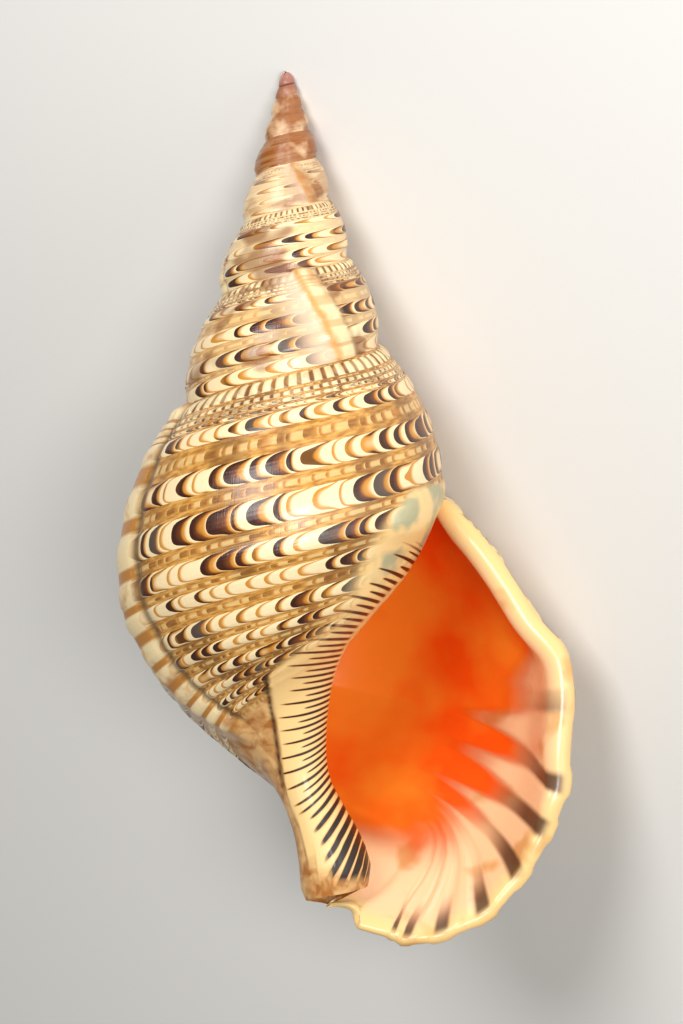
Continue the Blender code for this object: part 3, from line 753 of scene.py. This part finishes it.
def callus_colour(tree, level):
    """The inner lip: a buttery glaze with chocolate folds that thin out away from the aperture."""
    fold, inward = (add(tree, "Attribute", out=2, attribute_name=name) for name in ("fold", "inward"))
    number = add(tree, "Math", [fold], operation="FLOOR")
    lot = add(tree, "TexWhiteNoise", {1: number}, noise_dimensions="1D")
    off = distance(tree, add(tree, "Math", [fold], operation="FRACT"), 0.5)
    length = add(tree, "MapRange", [level, 540.0, 650.0, 10.0, 21.0])
    short = add(tree, "Math", [number, 2.0], operation="FLOORED_MODULO")
    short = product(tree, short, add(tree, "MapRange", [level, 780.0, 820.0, 0.5, 0.0]))
    kept = add(tree, "Math", [1.0, short], operation="SUBTRACT")
    length = product(tree, length, add(tree, "MapRange", [lot, 0.0, 1.0, 0.75, 1.1]), kept)
    gone = add(tree, "Math", [inward, length], operation="DIVIDE")
    heavy = add(tree, "MapRange", [level, 800.0, 850.0, 0.18, 0.38])
    wide = add(tree, "MapRange", [gone, 0.1, 1.0, 1.0, 0.0])
    wide = product(tree, add(tree, "Math", [wide, 0.6], operation="POWER"), heavy)
    core = add(tree, "MapRange", [off, wide, add(tree, "Math", [wide, 0.07], operation="ADD"), 1.0, 0.0], **STEP)
    glow = add(tree, "MapRange", [off, wide, add(tree, "Math", [wide, 0.2], operation="ADD"), 1.0, 0.0], **STEP)
    ends = ([gone, 0.85, 1.0, 1.0, 0.0], [level, 540.0, 552.0], [inward, -2.0, -0.6], [level, 884.0, 874.0])
    seen = product(tree, *[add(tree, "MapRange", end) for end in ends])
    place = add(tree, "TexCoord", out=3)
    cloud = add(tree, "TexNoise", {"Vector": place, "Scale": 70.0, "Detail": 2.0})
    mist = add(tree, "MapRange", [cloud, 0.45, 0.62])
    mist = product(tree, mist, add(tree, "MapRange", [level, 560.0, 640.0, 0.75, 0.0]))
    base = add(tree, "Mix", {0: mist, 6: "F8D08C", 7: "8C9A80"}, **MIX)
    rough = add(tree, "TexNoise", {"Vector": place, "Scale": 240.0, "Detail": 3.0, "Distortion": 1.0})
    rough = add(tree, "Mix", {0: add(tree, "MapRange", [rough, 0.42, 0.6]), 6: "E5A35C", 7: "A4561C"}, **MIX)
    base = add(tree, "Mix", {0: add(tree, "MapRange", [level, 864.0, 884.0]), 6: base, 7: rough}, **MIX)
    base = add(tree, "Mix", {0: product(tree, glow, seen), 6: base, 7: "D9984A"}, **MIX)
    line = product(tree, core, seen)
    return add(tree, "Mix", {0: line, 6: base, 7: "1E0D07"}, **MIX), line


def throat_colour(tree, depth, lane):
    """Inside the lip: a cream rim, flesh-pink pads with brown bars between them, then orange enamel."""
    pale = add(tree, "Attribute", out=2, attribute_name="pale")
    place = add(tree, "TexCoord", out=3)
    cloud = add(tree, "TexNoise", {"Vector": place, "Scale": 22.0, "Detail": 3.0})
    orange = add(tree, "Mix", {0: add(tree, "MapRange", [cloud, 0.4, 0.62]), 6: "FF8A24", 7: "FF580A"}, **MIX)
    pair = add(tree, "Math", [product(tree, lane, 0.5)], operation="FRACT")
    off = distance(tree, pair, 0.75)
    off = add(tree, "Math", [off, add(tree, "Math", [1.0, off], operation="SUBTRACT")], operation="MINIMUM")
    low = add(tree, "MapRange", [lane, 14.5, 16.5], **STEP)
    tongue = add(tree, "MapRange", [off, 0.1, 0.42, 0.3, -0.1], **STEP)
    crowded = add(tree, "MapRange", [lane, 20.5, 23.0, 1.0, 0.1])
    reach = add(tree, "Math", [product(tree, tongue, crowded), low, pale], operation="MULTIPLY_ADD")
    reach = add(tree, "Math", [cloud, 0.4, reach], operation="MULTIPLY_ADD")
    deep = add(tree, "MapRange", [reach, 1.0, 1.4], **STEP)
    flare = add(tree, "Mix", {0: add(tree, "MapRange", [depth, 6.0, 16.0], **STEP), 6: "F9D08A", 7: "FAC594"}, **MIX)
    stain = add(tree, "TexNoise", {"Vector": place, "Scale": 55.0, "Detail": 2.0})
    flare = add(tree, "Mix", {0: add(tree, "MapRange", [stain, 0.56, 0.68, 0.0, 0.65]), 6: flare, 7: "D08A3A"}, **MIX)
    inside = add(tree, "Mix", {0: deep, 6: flare, 7: orange}, **MIX)
    # Painted shade: a red-brown band where the pale rolled rim steps down into the orange hollow
    rim_step_shade = add(tree, "MapRange", [reach, 0.85, 1.2], **STEP)
    rim_step_shade = product(tree, rim_step_shade, add(tree, "MapRange", [reach, 1.2, 1.5, 0.45, 0.0]))
    inside = add(tree, "Mix", {0: rim_step_shade, 6: inside, 7: "B8480C"}, **MIX)
    ribbed = add(tree, "MapRange", [lane, 30.2, 30.6, 1.0, 0.0])
    share = add(tree, "MapRange", [off, 0.09, 0.22, 0.9, 0.0], **STEP)
    start = add(tree, "MapRange", [depth, 5.0, 10.0], **STEP)
    late = add(tree, "MapRange", [lane, 21.0, 25.0, 1.0, 1.9])
    gone = product(tree, pale, late)
    stop = add(tree, "MapRange", [gone, 0.35, 0.9, 1.0, 0.0], **STEP)
    share = product(tree, share, start, stop, low, ribbed)
    bar = add(tree, "Mix", {0: add(tree, "MapRange", [gone, 0.35, 0.9]), 6: "3E1B08", 7: "9A4A12"}, **MIX)
    return add(tree, "Mix", {0: share, 6: inside, 7: bar}, **MIX)


def glazed_shell():
    """Aragonite with a natural gloss, as a triton keeps it: enamel inside, a thin clear gloss over the ribs."""
    made = bpy.data.materials.new("glossy_aragonite_shell")
    made.use_nodes = True
    tree = made.node_tree
    tree.nodes.clear()
    grown = add(tree, "SeparateXYZ", [add(tree, "UVMap", uv_map="growth")])
    lane = grown.node.outputs[1]
    rim, glaze, side, level = (
        add(tree, "Attribute", out=2, attribute_name=name) for name in ("rim", "glaze", "wall_side", "level")
    )
    inner, folds = callus_colour(tree, level)
    bare = add(tree, "Math", [1.0, side], operation="SUBTRACT")
    folds = product(tree, folds, glaze, bare)
    shade = add(tree, "Mix", {0: glaze, 6: wall_colour(tree, grown, lane), 7: inner}, **MIX)
    shade = add(tree, "Mix", {0: side, 6: shade, 7: throat_colour(tree, rim, lane)}, **MIX)
    fine = add(tree, "CombineXYZ", [product(tree, grown, 14.0), lane, 0.0])
    lines = add(tree, "TexNoise", {"Vector": fine, "Scale": 1.0, "Detail": 3.0}, noise_dimensions="2D")
    threads = add(tree, "Math", [product(tree, lane, 2 * np.pi * THREADS)], operation="SINE")
    height = add(tree, "Math", [threads, 0.12, lines], operation="MULTIPLY_ADD")
    height = add(tree, "Math", [folds, -1.5, product(tree, height, bare)], operation="MULTIPLY_ADD")
    bump = add(tree, "Bump", {"Strength": 0.35, "Distance": 0.0003, "Height": height})
    gloss = add(tree, "BsdfPrincipled", {"Base Color": shade, "Roughness": 0.3, "IOR": 1.53, "Normal": bump})
    gloss.node.inputs["Coat Weight"].default_value = 0.15
    gloss.node.inputs["Coat Roughness"].default_value = 0.1
    add(tree, "OutputMaterial", [gloss])
    return made


def plain(name, code, roughness):
    """A material of one colour and no pattern."""
    made = bpy.data.materials.new(name)
    made.use_nodes = True
    surface_node = made.node_tree.nodes["Principled BSDF"]
    surface_node.inputs["Base Color"].default_value = colour(code)
    surface_node.inputs["Roughness"].default_value = roughness
    return made


def pale_floor():
    """A wide flat sheet of matt painted board, pale and without gloss, so that the light alone shades it."""
    mesh = bpy.data.meshes.new("floor")
    half = 6.0
    mesh.from_pydata([(-half, -half, 0), (half, -half, 0), (half, half, 0), (-half, half, 0)], [], [(0, 1, 2, 3)])
    mesh.materials.append(plain("matt_painted_board", "E9E7E2", 0.9))
    floor = bpy.data.objects.new("floor", mesh)
    bpy.context.collection.objects.link(floor)


def aimed(data, place, target, upwards):
    """An object that looks from a place at a target, with a direction kept upwards in its view."""
    back = np.array(place, float) - np.array(target, float)
    back /= np.linalg.norm(back)
    right = np.cross(upwards, back)
    right /= np.linalg.norm(right)
    matrix = np.eye(4)
    matrix[:3] = np.stack([right, np.cross(back, right), back, place], axis=1)
    made = bpy.data.objects.new(data.name, data)
    made.matrix_world = Matrix(matrix)
    bpy.context.collection.objects.link(made)
    return made


def softbox(name, place, target, size, power):
    """A round area light, wide enough for soft shadows."""
    data = bpy.data.lights.new(name, "AREA")
    data.shape = "DISK"
    data.size = size
    data.energy = power
    aimed(data, place, target, (0.0, 0.001, 1.0))


piece, axes, foot = shell_piece(glazed_shell())
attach(piece, "root")
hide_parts("shell")
pale_floor()

# The camera looks along the standing shell's depth, which rises 46 degrees above level once it lies down
DISTANCE, FRAME_HEIGHT = 1.5, 0.4096
MIDDLE_IN_VIEW = (17.8, -177.0, 0.0)
lens = bpy.data.cameras.new("camera")
lens.sensor_fit = "VERTICAL"
lens.sensor_height = 24
aim = (np.array(MIDDLE_IN_VIEW) @ axes) * MM + foot
towards = np.array([0.0, 0.0, 1.0]) @ axes
lens.lens = lens.sensor_height * DISTANCE / FRAME_HEIGHT
bpy.context.scene.camera = aimed(lens, aim + towards * DISTANCE, aim, np.array([LEAN, 1.0, 0.0]) @ axes)

# For each softbox, metres towards the camera, to the right and past the apex, then its width and its watts
LIGHTS = {
    "key": (1.1, -0.6, 0.5, 0.7, 11.5),
    "front": (1.7, 0.25, -0.1, 0.5, 14),
    "fill": (1.0, 0.9, -0.1, 0.9, 5),
    "top": (0.5, 0.0, 1.2, 0.6, 4.5),
}
right, ahead = np.array([1.0, 0.0, 0.0]) @ axes, np.array([0.0, 1.0, 0.0]) @ axes
for name, (near, aside, past, width, watts) in LIGHTS.items():
    softbox(name, aim + near * towards + aside * right + past * ahead, aim, width, watts)
world = bpy.data.worlds.new("room")
world.use_nodes = True
world.node_tree.nodes["Background"].inputs["Color"].default_value = colour("E8E6E2")
world.node_tree.nodes["Background"].inputs["Strength"].default_value = 0.25
bpy.context.scene.world = world
bpy.context.scene.view_settings.view_transform = "Standard"
